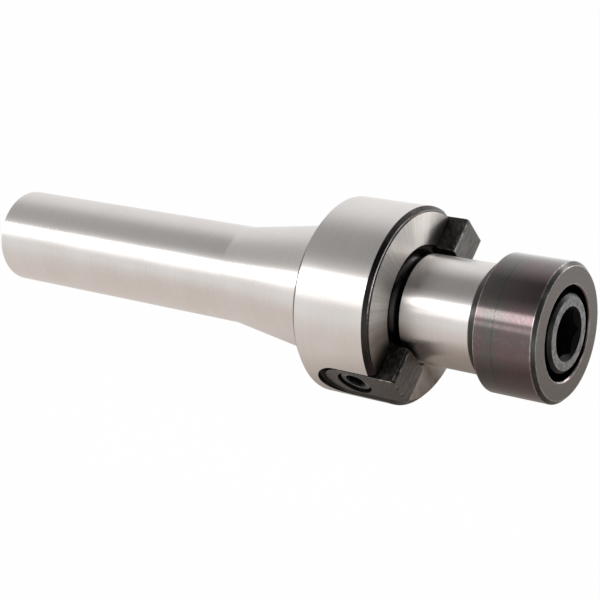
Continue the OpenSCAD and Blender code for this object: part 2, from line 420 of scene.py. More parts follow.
def cap_screw(name, finish, thread_r, pitch, length, head_r, head_h, hexagon, hex_depth, knurls, turn):
    """A socket head cap screw: its seat at X = 0, its head towards +X and its thread towards -X."""
    bevel = 0.08 * head_r
    hub_r = 0.3 * head_r
    tip = THREAD_DEPTH * pitch
    crest_clear = thread_r + pitch / 20
    screw = turn_piece(name, rounded([
        (0, hub_r, 0),
        (0, head_r - 0.5 * bevel, bevel / 4),
        (0.5 * bevel, head_r, bevel / 4),
        (0.12 * head_h, head_r, 0),
        (0.16 * head_h, head_r, 0),
        (0.80 * head_h, head_r, 0),
        (0.84 * head_h, head_r, 0),
        (head_h - bevel, head_r, bevel / 2),
        (head_h, head_r - bevel, bevel / 2),
        (head_h, hub_r, 0),
    ]), 2 * knurls)
    coat(screw, finish, "screw_face")
    # Straight knurl: every other line of the side goes in a little
    take(screw)
    bpy.ops.object.mode_set(mode="EDIT")
    bpy.ops.mesh.select_mode(type="VERT")
    bpy.ops.mesh.select_all(action="DESELECT")
    mesh = bmesh.from_edit_mesh(screw.data)
    for corner in mesh.verts:
        line = round(math.atan2(corner.co.z, corner.co.y) / FULL_TURN * 2 * knurls)
        on_side = 0.14 * head_h < corner.co.x < 0.82 * head_h
        corner.select_set(on_side and line % 2 == 0)
    bmesh.update_edit_mesh(screw.data)
    sunk = 1 - 0.35 * math.pi / knurls * 2
    bpy.ops.transform.resize(value=(1, sunk, sunk), center_override=(0, 0, 0))
    # The head's flat end is bright from handling, the rest dark
    paint(screw, 1, lambda centre, normal: normal.x > SQUARE and centre.x > 0.9 * head_h)
    bpy.ops.object.mode_set(mode="OBJECT")
    # Thread with a bevelled tip
    rod = threaded_rod("rod", thread_r, pitch, -length - pitch / 2, 0.05 * head_h, -length)
    blank = turn_piece("blank", rounded([
        (-length, thread_r - tip - 0.3 * pitch, 0),
        (-length, thread_r - tip, pitch / 8),
        (-length + tip, crest_clear, 0),
        (0.2 * head_h, crest_clear, 0),
    ]), TOOL_STEPS)
    coat(rod, finish)
    coat(blank, finish)
    work(rod, blank, "INTERSECT")
    work(screw, rod, "UNION")
    # Socket: a hexagon with a countersunk mouth and a drilled floor
    corner_r = hexagon / math.sqrt(3)
    floor_x = head_h - hex_depth
    countersink = turn_piece("countersink", [
        (head_h - corner_r, 0.05 * hexagon),
        (head_h + PAST, corner_r + 0.04 * hexagon + PAST),
    ], SOCKET_STEPS)
    broach = hex_tool(hexagon, floor_x, head_h + PAST, turn)
    point = turn_piece("point", [
        (floor_x - 0.48 * hexagon / math.tan(DRILL_HALF), 0.01 * hexagon),
        (floor_x, 0.49 * hexagon),
        (floor_x + 0.2 * hex_depth, 0.49 * hexagon),
    ], SOCKET_STEPS)
    # The socket's walls are near black: black oxide, darkened as painted shade of the socket
    for tool in (countersink, broach, point):
        work(screw, coat(tool, "bore_black_painted_shade"))
    return screw


def tapped_hole(piece, matrix, thread_r, pitch, bottom, mouth, anchor, countersink):
    """Drills, countersinks and taps a hole between its bottom and its mouth, two places along its own X."""
    # The drill clears the tap's root, so that the two surfaces never lie on each other
    core_r = thread_r - THREAD_KEPT * THREAD_DEPTH * pitch
    drill = turn_piece("drill", [
        (bottom - core_r / math.tan(DRILL_HALF), 0.02 * core_r),
        (bottom, core_r),
        (mouth - countersink, core_r),
        (mouth - countersink, thread_r),
        (mouth + PAST, thread_r + countersink + PAST),
    ], TOOL_STEPS)
    tap = threaded_rod("tap", thread_r, pitch, bottom + pitch, mouth + PAST / 2, anchor)
    # The hole's walls are near black: black oxide, darkened as painted shade of the hole
    for tool in (drill, tap):
        place(coat(tool, "bore_black_painted_shade"), matrix)
        work(piece, tool)


def smooth_piece(piece):
    """Shades the turned faces round and keeps the flats flat."""
    take(piece)
    bpy.ops.object.shade_smooth_by_angle(angle=SMOOTH_ANGLE)
    weighted = piece.modifiers.new("weighted", "WEIGHTED_NORMAL")
    weighted.keep_sharp = True
    weighted.mode = "FACE_AREA"
    bpy.ops.object.modifier_apply(modifier=weighted.name)


# Finishes

NOISE_LOW = 0.3
NOISE_HIGH = 0.7
GRIND_SLANT = math.radians(7)


def new_finish(name):
    finish = bpy.data.materials.new(name)
    finish.use_nodes = True
    return finish, finish.node_tree, finish.node_tree.nodes["Principled BSDF"]


def add(tree, kind, inputs=None, **settings):
    """A node with its settings, and its inputs set to numbers or linked to other nodes' outputs."""
    made = tree.nodes.new(kind)
    for key, value in settings.items():
        setattr(made, key, value)
    for key, value in (inputs or {}).items():
        if isinstance(value, bpy.types.NodeSocket):
            tree.links.new(value, made.inputs[key])
        else:
            made.inputs[key].default_value = value
    return made


def sums(tree, operation, *values):
    return add(tree, "ShaderNodeMath", dict(enumerate(values)), operation=operation).outputs[0]


def vectors(tree, operation, *values):
    """Sums with vectors; a length, a distance or a dot product comes out as a number."""
    made = add(tree, "ShaderNodeVectorMath", dict(enumerate(values)), operation=operation)
    is_number = operation in ("LENGTH", "DISTANCE", "DOT_PRODUCT")
    return made.outputs["Value" if is_number else "Vector"]


def vector_of(tree, x=0, y=0, z=0):
    return add(tree, "ShaderNodeCombineXYZ", {0: x, 1: y, 2: z}).outputs[0]


def noise_of(tree, vector, scale, detail, roughness):
    return add(tree, "ShaderNodeTexNoise", {
        "Vector": vector, "Scale": scale, "Detail": detail, "Roughness": roughness,
    }).outputs["Fac"]


def across_axis(tree, parts):
    """The part of a vector that lies across the arbor's axis."""
    return vector_of(tree, 0, parts.outputs["Y"], parts.outputs["Z"])


def along_and_out(tree):
    """How far along the arbor a point is and how far from its axis, then its place, whole and in parts."""
    place_node = add(tree, "ShaderNodeTexCoord").outputs["Object"]
    parts = add(tree, "ShaderNodeSeparateXYZ", {0: place_node})
    out = vectors(tree, "LENGTH", across_axis(tree, parts))
    return parts.outputs["X"], out, place_node, parts


def spoke_of(tree, parts):
    """The way out from the arbor's axis, one unit long."""
    return vectors(tree, "NORMALIZE", across_axis(tree, parts))


def lathe_marks(tree, x, r, parts, spacing, drift):
    """Noise drawn out round the axis, as a grinding wheel or a turning tool leaves it."""
    spread = vector_of(tree, sums(tree, "MULTIPLY", x, 1 / spacing), sums(tree, "MULTIPLY", r, 1 / spacing),
                       sums(tree, "MULTIPLY", parts.outputs["Y"], drift))
    lift = vector_of(tree, 0, 0, sums(tree, "MULTIPLY", parts.outputs["Z"], drift))
    return noise_of(tree, vectors(tree, "ADD", spread, lift), 1.0, 3.0, 0.6)


def cloud(tree, place_node, size, detail=3.0):
    """Soft patches of about that size."""
    return noise_of(tree, place_node, 1 / size, detail, 0.55)


def blend_colours(tree, share, first, second):
    mixed = add(tree, "ShaderNodeMix", {"Factor": share}, data_type="RGBA")
    for socket, colour in (("A", first), ("B", second)):
        target = [s for s in mixed.inputs if s.name == socket and s.type == "RGBA"][0]
        if isinstance(colour, bpy.types.NodeSocket):
            tree.links.new(colour, target)
        else:
            target.default_value = (*colour, 1)
    return [s for s in mixed.outputs if s.type == "RGBA"][0]


def span(tree, value, low, high, to_low=0.0, to_high=1.0):
    """Maps low..high to another span, and stops at its ends."""
    return add(tree, "ShaderNodeMapRange", {
        "Value": value, "From Min": low, "From Max": high, "To Min": to_low, "To Max": to_high,
    }).outputs["Result"]


def swing(tree, noise, low=0.0, high=1.0):
    """Maps the middle of a noise, where nearly all of it lies, to low..high."""
    return span(tree, noise, NOISE_LOW, NOISE_HIGH, low, high)


def worn_edges(tree, x, r, edges, width, breakup):
    """1 on the turned edges at those places (x, radius), fading over a width and broken up by noise."""
    total = None
    for edge_x, edge_r in edges:
        aside = vector_of(tree, sums(tree, "SUBTRACT", x, edge_x), sums(tree, "SUBTRACT", r, edge_r))
        mask = span(tree, vectors(tree, "LENGTH", aside), width * 0.4, width, 1.0, 0.0)
        total = mask if total is None else sums(tree, "MAXIMUM", total, mask)
    return sums(tree, "MULTIPLY", total, span(tree, breakup, 0.35, 0.6, 0.35, 1.0))


def round_grain(tree, shader, anisotropy):
    """Stretches the gloss across the marks that run round the axis."""
    shader.inputs["Anisotropic"].default_value = anisotropy
    shader.inputs["Anisotropic Rotation"].default_value = 0.25
    tangent = add(tree, "ShaderNodeTangent", direction_type="RADIAL", axis="X")
    tree.links.new(tangent.outputs[0], shader.inputs["Tangent"])


def dress(tree, shader, tone, rough, height, strength, depth, metallic=1.0):
    """Gives a finish its colour, its roughness and the small relief of its marks."""
    tree.links.new(tone, shader.inputs["Base Color"])
    tree.links.new(rough, shader.inputs["Roughness"])
    shader.inputs["Metallic"].default_value = metallic
    bump = add(tree, "ShaderNodeBump", {"Height": height, "Strength": strength, "Distance": depth})
    tree.links.new(bump.outputs[0], shader.inputs["Normal"])


def ground_steel():
    """Bright steel, ground round its axis and faintly stained by handling."""
    finish, tree, shader = new_finish("ground_steel")
    x, r, place_node, parts = along_and_out(tree)
    fine = lathe_marks(tree, x, r, parts, 0.16 * MM, 60)
    broad = lathe_marks(tree, x, r, parts, 0.9 * MM, 25)
    stain = cloud(tree, place_node, 14 * MM)
    tone = blend_colours(tree, span(tree, stain, 0.35, 0.65), STEEL_WARM, STEEL_BRIGHT)
    tone = blend_colours(tree, swing(tree, fine, 0.0, 0.18), tone, STEEL_FINE_MARK)
    tone = blend_colours(tree, swing(tree, broad, 0.0, 0.15), tone, STEEL_BROAD_MARK)
    rough = sums(tree, "ADD", swing(tree, fine, 0.27, 0.32), swing(tree, stain, -0.02, 0.02))
    height = sums(tree, "ADD", fine, sums(tree, "MULTIPLY", broad, 1.2))
    round_grain(tree, shader, 0.8)
    dress(tree, shader, tone, rough, height, 0.15, 0.002 * MM)
    return finish


def turned_face():
    """The flange's face: a coarser turned finish with faint streaks that run outwards, and a painted
    reflection of the lower key.
    """
    finish, tree, shader = new_finish("turned_face")
    x, r, place_node, parts = along_and_out(tree)
    rings = lathe_marks(tree, x, r, parts, 0.12 * MM, 90)
    streaks = noise_of(tree, spoke_of(tree, parts), 26.0, 4.0, 0.7)
    stain = cloud(tree, place_node, 7 * MM)
    tone = blend_colours(tree, swing(tree, streaks), FACE_DARK_STREAK, FACE_BRIGHT_STREAK)
    tone = blend_colours(tree, span(tree, stain, 0.4, 0.7, 0.0, 0.3), tone, FACE_STAIN)
    # Painted shade on one side of the lower key: the key's dark reflection, painted into the face's colour
    aside = vectors(tree, "DOT_PRODUCT", place_node, (0, -math.sin(KEY_TURN), -math.cos(KEY_TURN)))
    out_along = vectors(tree, "DOT_PRODUCT", place_node, (0, -math.sin(KEY_TURN), math.cos(KEY_TURN)))
    painted_key_reflection = sums(tree, "MULTIPLY", span(tree, aside, KEY_HALF, KEY_HALF + 11 * MM, 0.95, 0.0),
                  span(tree, out_along, 2 * MM, 9 * MM))
    painted_key_reflection = sums(tree, "MULTIPLY", painted_key_reflection, swing(tree, stain, 0.8, 1.0))
    tone = blend_colours(tree, painted_key_reflection, tone, FACE_PAINTED_KEY_REFLECTION)
    rough = sums(tree, "ADD", swing(tree, rings, 0.40, 0.48), swing(tree, streaks, -0.04, 0.04))
    height = sums(tree, "ADD", rings, sums(tree, "MULTIPLY", streaks, 0.6))
    round_grain(tree, shader, 0.9)
    dress(tree, shader, tone, rough, height, 0.2, 0.004 * MM)
    return finish


def oxide(name, dark, light, gloss, edges=(), wear_and_highlight_colour=OXIDE_WORN, patch_size=5 * MM, highlight_side=None):
    """Black oxide over turned steel: a dark tint that drifts, worn thin on its edges, or with a painted
    highlight on one side.
    """
    finish, tree, shader = new_finish(name)
    x, r, place_node, parts = along_and_out(tree)
    fine = lathe_marks(tree, x, r, parts, 0.2 * MM, 80)
    broad = lathe_marks(tree, x, r, parts, 1.1 * MM, 40)
    patch = cloud(tree, place_node, patch_size)
    tone = blend_colours(tree, span(tree, patch, 0.38, 0.62), dark, light)
    tone = blend_colours(tree, span(tree, broad, 0.4, 0.75, 0.0, 0.35), tone, dark)
    if edges:
        worn = worn_edges(tree, x, r, edges, 0.22 * MM, cloud(tree, place_node, 1.2 * MM))
        tone = blend_colours(tree, worn, tone, wear_and_highlight_colour)
    # A painted highlight: one side round the axis turns to the given colour, as a lamp's glint would
    if highlight_side is not None:
        middle = (0, math.cos(highlight_side), math.sin(highlight_side))
        near = vectors(tree, "DOT_PRODUCT", spoke_of(tree, parts), middle)
        ragged = sums(tree, "ADD", near, swing(tree, patch, -0.06, 0.06))
        tone = blend_colours(tree, span(tree, ragged, 0.80, 0.96), tone, wear_and_highlight_colour)
    rough = sums(tree, "ADD", swing(tree, fine, gloss, gloss + 0.08), swing(tree, patch, -0.02, 0.04))
    height = sums(tree, "ADD", fine, sums(tree, "MULTIPLY", broad, 1.5))
    dress(tree, shader, tone, rough, height, 0.2, 0.003 * MM)
    return finish


def collar_oxide():
    """Glossy black oxide whose thin film turns greenish at the rear and violet towards the front."""
    finish, tree, shader = new_finish("collar_oxide")
    x, r, place_node, parts = along_and_out(tree)
    fine = lathe_marks(tree, x, r, parts, 0.2 * MM, 80)
    broad = lathe_marks(tree, x, r, parts, 1.4 * MM, 30)
    patch = cloud(tree, place_node, 6 * MM)
    specks = cloud(tree, place_node, 0.4 * MM, 2.0)
    mottle = cloud(tree, place_node, 2.2 * MM, 4.0)
    drift = sums(tree, "ADD", x, swing(tree, patch, -1.5 * MM, 1.5 * MM))
    front_film = span(tree, drift, COLLAR_TINT_X - 1.2 * MM, COLLAR_TINT_X + 3.5 * MM, 0.25, 0.75)
    rear_film = span(tree, drift, COLLAR_REAR_X, COLLAR_REAR_X + 3 * MM, 0.8, 0.0)
    film = sums(tree, "MAXIMUM", front_film, rear_film)
    film = sums(tree, "ADD", film, swing(tree, mottle, -0.25, 0.2))
    tone = blend_colours(tree, span(tree, film, 0.0, 1.0), FILM_GREEN, FILM_VIOLET)
    tone = blend_colours(tree, span(tree, broad, 0.4, 0.75, 0.0, 0.35), tone, FILM_MARK)
    off_seam = sums(tree, "ABSOLUTE", sums(tree, "SUBTRACT", x, COLLAR_TINT_X))
    tone = blend_colours(tree, span(tree, off_seam, 0.0, 0.35 * MM, 0.5, 0.0), tone, COLLAR_SEAM)
    flat_end = span(tree, x, COLLAR_FRONT - 0.08 * MM, COLLAR_FRONT - 0.04 * MM)
    tone = blend_colours(tree, flat_end, tone, COLLAR_END)
    tone = blend_colours(tree, span(tree, specks, 0.45, 0.7, 0.0, 0.4), tone, SPECK_DARK)
    tone = blend_colours(tree, span(tree, specks, 0.25, 0.42, 0.3, 0.0), tone, SPECK_BRIGHT)
    worn = worn_edges(tree, x, r, COLLAR_EDGES, 0.2 * MM, cloud(tree, place_node, 1.2 * MM))
    tone = blend_colours(tree, worn, tone, COLLAR_WORN)
    rough = sums(tree, "ADD", swing(tree, fine, 0.12, 0.16), sums(tree, "MULTIPLY", flat_end, 0.32))
    rough = sums(tree, "ADD", rough, swing(tree, specks, -0.02, 0.04))
    coat_weight = sums(tree, "SUBTRACT", 0.8, sums(tree, "MULTIPLY", flat_end, 0.8))
    tree.links.new(coat_weight, shader.inputs["Coat Weight"])
    shader.inputs["Coat Roughness"].default_value = 0.15
    height = sums(tree, "ADD", fine, sums(tree, "MULTIPLY", specks, 0.8))
    dress(tree, shader, tone, rough, height, 0.25, 0.003 * MM)
    return finish


def ground_oxide(name, dark, light, gloss, wear=0.0):
    """Black oxide over flat-ground steel, its fine lines running out from the axis."""
    finish, tree, shader = new_finish(name)
    place_node = add(tree, "ShaderNodeTexCoord").outputs["Object"]
    upright = add(tree, "ShaderNodeMapping", {"Vector": place_node, "Rotation": (-KEY_TURN, 0, 0)})
    slanted = add(tree, "ShaderNodeMapping", {"Vector": upright.outputs[0], "Rotation": (GRIND_SLANT, 0, 0)})
    drawn_out = add(tree, "ShaderNodeMapping", {
        "Vector": slanted.outputs[0], "Scale": (1 / (0.5 * MM), 1 / (0.16 * MM), 1 / (3 * MM)),
    })
    lines = noise_of(tree, drawn_out.outputs[0], 1.0, 3.0, 0.6)
    patch = cloud(tree, place_node, 4 * MM)
    specks = cloud(tree, place_node, 0.35 * MM, 2.0)
    scratch = tuple(1.9 * c for c in light)
    pit = tuple(0.5 * c for c in dark)
    tone = blend_colours(tree, span(tree, patch, 0.35, 0.65), dark, light)
    tone = blend_colours(tree, span(tree, lines, 0.45, 0.65, 0.0, 0.8), tone, scratch)
    tone = blend_colours(tree, span(tree, lines, 0.32, 0.45, 0.6, 0.0), tone, pit)
    tone = blend_colours(tree, span(tree, specks, 0.5, 0.75, 0.0, 0.5), tone, pit)
    if wear:
        worn = span(tree, cloud(tree, place_node, 1.1 * MM), 0.5 - wear / 2, 0.62)
        along = add(tree, "ShaderNodeSeparateXYZ", {0: place_node}).outputs["X"]
        worn = sums(tree, "MULTIPLY", worn, span(tree, along, -1 * MM, 2.5 * MM))
        tone = blend_colours(tree, worn, tone, KEY_WORN)
    rough = sums(tree, "ADD", swing(tree, lines, gloss, gloss + 0.12), swing(tree, patch, -0.02, 0.04))
    height = sums(tree, "ADD", lines, sums(tree, "MULTIPLY", specks, 0.5))
    dress(tree, shader, tone, rough, height, 0.3, 0.006 * MM)
    return finish


def bore_black_painted_shade():
    """Dull black inside slots, sockets and tapped holes: black oxide, darkened further and nearly glossless
    as painted shade of their depth.
    """
    finish, tree, shader = new_finish("bore_black_painted_shade")
    place_node = add(tree, "ShaderNodeTexCoord").outputs["Object"]
    patch = cloud(tree, place_node, 1.5 * MM)
    tone = blend_colours(tree, span(tree, patch, 0.35, 0.65), BORE_DARK, BORE_LIGHT)
    shader.inputs["Specular IOR Level"].default_value = 0.06
    dress(tree, shader, tone, swing(tree, patch, 0.38, 0.52), patch, 0.3, 0.02 * MM, metallic=0.0)
    return finish


finishes = {
    "ground_steel": ground_steel(),
    "turned_face": turned_face(),
    "bore_black_painted_shade": bore_black_painted_shade(),
    "edge_oxide": oxide("edge_oxide", (0.032, 0.029, 0.029), (0.060, 0.054, 0.053), 0.24),
    # The flange's lip: dark oxide with a painted highlight round one side
    "lip_oxide_painted_highlight": oxide("lip_oxide_painted_highlight", (0.035, 0.032, 0.032), (0.070, 0.064, 0.062), 0.18,
                        wear_and_highlight_colour=LIP_PAINTED_HIGHLIGHT, patch_size=1.5 * MM, highlight_side=math.radians(138)),
    "slot_oxide": oxide("slot_oxide", (0.060, 0.057, 0.050), (0.110, 0.104, 0.094), 0.36),
    "slot_black": oxide("slot_black", (0.026, 0.025, 0.022), (0.050, 0.047, 0.042), 0.40),
    "collar_oxide": collar_oxide(),
    "collar_chamfer": oxide("collar_chamfer", (0.055, 0.056, 0.052), (0.10, 0.10, 0.094), 0.22,
                            COLLAR_EDGES),
    "collar_rear": oxide("collar_rear", (0.006, 0.0055, 0.0055), (0.015, 0.013, 0.013), 0.34, COLLAR_EDGES),
    "key_oxide": ground_oxide("key_oxide", (0.080, 0.076, 0.073), (0.125, 0.118, 0.112), 0.30),
    "key_side": ground_oxide("key_side", (0.030, 0.030, 0.028), (0.058, 0.054, 0.050), 0.34),
    "key_edge": ground_oxide("key_edge", (0.060, 0.058, 0.056), (0.10, 0.096, 0.092), 0.28, 0.06),
    "key_screw_oxide": oxide("key_screw_oxide", (0.075, 0.072, 0.070), (0.12, 0.115, 0.11), 0.32),
    "screw_oxide": oxide("screw_oxide", (0.030, 0.030, 0.031), (0.055, 0.055, 0.057), 0.34),
    "screw_face": oxide("screw_face", (0.13, 0.13, 0.138), (0.30, 0.30, 0.312), 0.38, patch_size=1.1 * MM),
}


def show(piece, body, node_name):
    """Smooths a finished piece and lets it ride in the node's place."""
    smooth_piece(piece)
    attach(piece, body)
    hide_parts(node_name)


# Arbor

def key_screw_seat(height=0):
    """The place of a key's screw, its +X turned outwards, at a height above the arbor's axis."""
    return Matrix.Translation((KEY_SCREW_X, 0, height)) @ Matrix.Rotation(-math.pi / 2, 4, "Y")


def make_arbor():
    """The bar: turned, slotted, tapped at the nose and the tail, with a keyway along the shank."""
    chamfer_r = FLANGE_R - FLANGE_FRONT_CHAMFER
    outline = rounded([
        (TAIL_X, END_HUB * SHANK_R, 0),
        (TAIL_X, SHANK_R - TAIL_CHAMFER, EDGE),
        (TAIL_X + TAIL_CHAMFER, SHANK_R, EDGE),
        (TAPER_SMALL_X, SHANK_R, TAPER_ROUND),
        (TAPER_BIG_X, TAPER_R, 2 * EDGE),
        (FLANGE_BACK, TAPER_R, 3 * EDGE),
        (FLANGE_BACK, FLANGE_R - FLANGE_REAR_CHAMFER, EDGE),
        (FLANGE_BACK + FLANGE_REAR_CHAMFER, FLANGE_R, EDGE),
        (-FLANGE_FRONT_CHAMFER, FLANGE_R, EDGE),
        (-LIP_IN - LIP_W, chamfer_r + LIP_IN + LIP_W, 0),
        (-LIP_IN - LIP_W / 4, chamfer_r + LIP_IN + LIP_W / 4 + LIP_H, LIP_W / 4),
        (-LIP_IN, chamfer_r + LIP_IN, 0),
        (0, chamfer_r, 0),
        (0, PILOT_R + RELIEF_R + RELIEF_LAND, 0),
    ])
    for k in range(RELIEF_STEPS + 1):
        angle = math.radians(90 + 270 * k / RELIEF_STEPS)
        outline.append((RELIEF_R * math.cos(angle), PILOT_R + RELIEF_R * math.sin(angle)))
    outline += rounded([
        (RELIEF_R + RELIEF_LAND, PILOT_R, 0),
        (PILOT_END - PILOT_CHAMFER, PILOT_R, EDGE),
        (PILOT_END, PILOT_R - PILOT_CHAMFER, EDGE),
        (PILOT_END, END_HUB * PILOT_R, 0),
    ])
    arbor = turn_piece("arbor_body", outline, ARBOR_STEPS)
    coat(arbor, "ground_steel", "edge_oxide", "lip_oxide_painted_highlight", "turned_face", "bore_black_painted_shade")
    take(arbor)
    bpy.ops.object.mode_set(mode="EDIT")

    def left_black(centre, normal):
        """The relief at the pilot's root and the flange's two chamfers, which weren't ground."""
        out = radius_of(centre)
        in_relief = math.hypot(centre.x, out - PILOT_R) < 1.01 * RELIEF_R
        on_front = centre.x > -FLANGE_FRONT_CHAMFER and chamfer_r < out < FLANGE_R
        on_rear = centre.x < FLANGE_BACK + FLANGE_REAR_CHAMFER and out > FLANGE_R - FLANGE_REAR_CHAMFER
        return in_relief or on_front or on_rear

    def on_lip(centre, normal):
        return abs(centre.x + LIP_IN + LIP_W / 2) < LIP_W / 2 and radius_of(centre) > chamfer_r

    def on_face(centre, normal):
        return normal.x > SQUARE and abs(centre.x) < EDGE and radius_of(centre) < chamfer_r

    for index, wanted in enumerate((left_black, on_lip, on_face), 1):
        paint(arbor, index, wanted)
    bpy.ops.object.mode_set(mode="OBJECT")

    # Slots of the two keys, each with a close foot, a wider upper part and a bevelled rim
    top = FLANGE_R + PAST
    rim_low = SLOT_RIM - SLOT_BEVEL
    for i in range(2):
        foot = end_mill("slot_foot", PAST, KEY_HALF + SLOT_FIT, KEY_FLOOR, top)
        relief = end_mill("slot_relief", PAST, KEY_HALF + SLOT_RELIEF, KEY_FLOOR + SLOT_FOOT, top)
        rim = end_mill("slot_rim", PAST, KEY_HALF + SLOT_RELIEF + SLOT_BEVEL, rim_low, top)
        take(rim)
        bpy.ops.object.mode_set(mode="EDIT")
        pick_edges(lambda a, b: max(a.z, b.z) < rim_low + MERGE and abs(a.y - b.y) < KEY_HALF)
        bpy.ops.mesh.bevel(offset=SLOT_BEVEL, segments=1, clamp_overlap=False)
        bpy.ops.mesh.select_all(action="SELECT")
        bpy.ops.mesh.remove_doubles(threshold=MERGE)
        bpy.ops.mesh.dissolve_limited(angle_limit=FLAT_ANGLE)
        bpy.ops.mesh.normals_make_consistent(inside=False)
        bpy.ops.object.mode_set(mode="OBJECT")
        for tool, finish_name in ((foot, "slot_oxide"), (relief, "slot_oxide"), (rim, "slot_black")):
            place(coat(tool, finish_name), Matrix.Rotation(KEY_TURN + i * math.pi, 4, "X"))
            work(arbor, tool)

    # The slots' rims are broken and black
    take(arbor)
    bpy.ops.object.mode_set(mode="EDIT")
    bpy.ops.mesh.select_all(action="DESELECT")
    bpy.ops.mesh.select_mode(type="EDGE")
    mesh = bmesh.from_edit_mesh(arbor.data)
    slot_indices = [arbor.data.materials.find(name) for name in ("slot_oxide", "slot_black")]
    for edge in mesh.edges:
        walls = sum(1 for face in edge.link_faces if face.material_index in slot_indices)
        in_upper_part = all(radius_of(corner.co) > KEY_FLOOR + SLOT_FOOT + PAST for corner in edge.verts)
        edge.select_set(walls == 1 and in_upper_part)
    bmesh.update_edit_mesh(arbor.data)
    bpy.ops.mesh.bevel(offset=SLOT_EDGE, segments=2, material=1, clamp_overlap=True)
    bpy.ops.object.mode_set(mode="OBJECT")

    # Keyway along the shank, in line with the upper key
    bpy.ops.object.select_all(action="DESELECT")
    bpy.ops.mesh.primitive_cube_add(size=1, location=((TAIL_X - PAST + KEYWAY_END) / 2, 0,
                                                      KEYWAY_FLOOR + SHANK_R / 2))
    keyway = bpy.context.object
    keyway.scale = (KEYWAY_END - TAIL_X + PAST, KEYWAY_W, SHANK_R)
    settle(keyway)
    bpy.ops.object.mode_set(mode="EDIT")
    pick_edges(lambda a, b: min(a.x, b.x) > KEYWAY_END - PAST and abs(a.z - b.z) > PAST)
    bpy.ops.mesh.bevel(offset=KEYWAY_ROUND, segments=10)
    bpy.ops.object.mode_set(mode="OBJECT")
    place(coat(keyway, "ground_steel"), Matrix.Rotation(KEY_TURN + math.pi, 4, "X"))
    work(arbor, keyway)

    # Small broken edges round the slots and the keyway
    take(arbor)
    bpy.ops.object.mode_set(mode="EDIT")
    bpy.ops.mesh.select_all(action="DESELECT")
    bpy.ops.mesh.select_mode(type="EDGE")
    bpy.ops.mesh.edges_select_sharp(sharpness=SHARP_ANGLE)
    bpy.ops.mesh.bevel(offset=BROKEN_EDGE, segments=2, clamp_overlap=True)
    # Pinholes that the bevels leave where a rim meets the flange are closed before the next cut
    bpy.ops.mesh.select_all(action="SELECT")
    bpy.ops.mesh.remove_doubles(threshold=MERGE)
    bpy.ops.mesh.fill_holes(sides=0)
    bpy.ops.mesh.select_all(action="SELECT")
    bpy.ops.mesh.normals_make_consistent(inside=False)
    bpy.ops.object.mode_set(mode="OBJECT")

    # Tapped holes for the keys' screws, the collar's screw and the drawbar
    for i in range(2):
        turned = Matrix.Rotation(KEY_TURN + i * math.pi, 4, "X")
        tapped_hole(arbor, turned @ key_screw_seat(), KEY_SCREW_R + TAP_GAP, KEY_SCREW_PITCH,
                    KEY_TIP - TAP_SPARE, KEY_FLOOR, KEY_TIP, TAP_BEVEL)
    tapped_hole(arbor, Matrix.Identity(4), SCREW_R + TAP_GAP, SCREW_PITCH, SCREW_TIP - TAP_SPARE,
                PILOT_END, SCREW_TIP, TAP_BEVEL)
    tailwards = Matrix.Rotation(math.pi, 4, "Z")
    tapped_hole(arbor, tailwards, DRAWBAR_R, DRAWBAR_PITCH, -TAIL_X - DRAWBAR_LEN, -TAIL_X, 0,
                DRAWBAR_MOUTH_R - DRAWBAR_R)
    return arbor


# Keys and their screws

def make_key():
    """A drive key with a round rear end, broken edges and a counterbored hole."""
    key = coat(end_mill("lower_key_body", KEY_OUT, KEY_HALF, KEY_FLOOR, KEY_TOP),
               "key_oxide", "key_edge", "key_side")
    take(key)
    bpy.ops.object.mode_set(mode="EDIT")
    paint(key, 2, lambda centre, normal: abs(normal.z) < 0.5 and normal.x < 0.5)
    pick_edges(lambda a, b: min(a.x, b.x) > KEY_OUT - 10 * MERGE and abs(a.z - b.z) > PAST)
    bpy.ops.mesh.bevel(offset=KEY_CORNER, segments=1)
    bpy.ops.mesh.select_all(action="DESELECT")
    bpy.ops.mesh.edges_select_sharp(sharpness=SHARP_ANGLE)
    bpy.ops.mesh.bevel(offset=KEY_EDGE, segments=3, material=1)
    bpy.ops.object.mode_set(mode="OBJECT")
    bore = turn_piece("counterbore", [
        (KEY_FLOOR - PAST, KEY_HOLE_R + PAST + EDGE),
        (KEY_FLOOR + EDGE, KEY_HOLE_R),
        (KEY_SEAT, KEY_HOLE_R),
        (KEY_SEAT, KEY_BORE_R),
        (KEY_TOP - EDGE, KEY_BORE_R),
        (KEY_TOP + PAST, KEY_BORE_R + PAST + EDGE),
    ], BORE_STEPS)
    # The counterbore's walls are near black: painted shade of the recess
    place(coat(bore, "bore_black_painted_shade"), key_screw_seat())
    work(key, bore)
    place(key, Matrix.Rotation(KEY_TURN, 4, "X"))
    return key


def make_key_screw():
    screw = cap_screw("lower_key_screw_body", "key_screw_oxide", KEY_SCREW_R, KEY_SCREW_PITCH, KEY_SCREW_LEN,
                      KEY_HEAD_R, KEY_HEAD_H, KEY_HEX, KEY_HEX_DEPTH, KEY_KNURLS, 0)
    place(screw, Matrix.Rotation(KEY_TURN, 4, "X") @ key_screw_seat(KEY_SEAT))
    return screw


# Collar and its screw

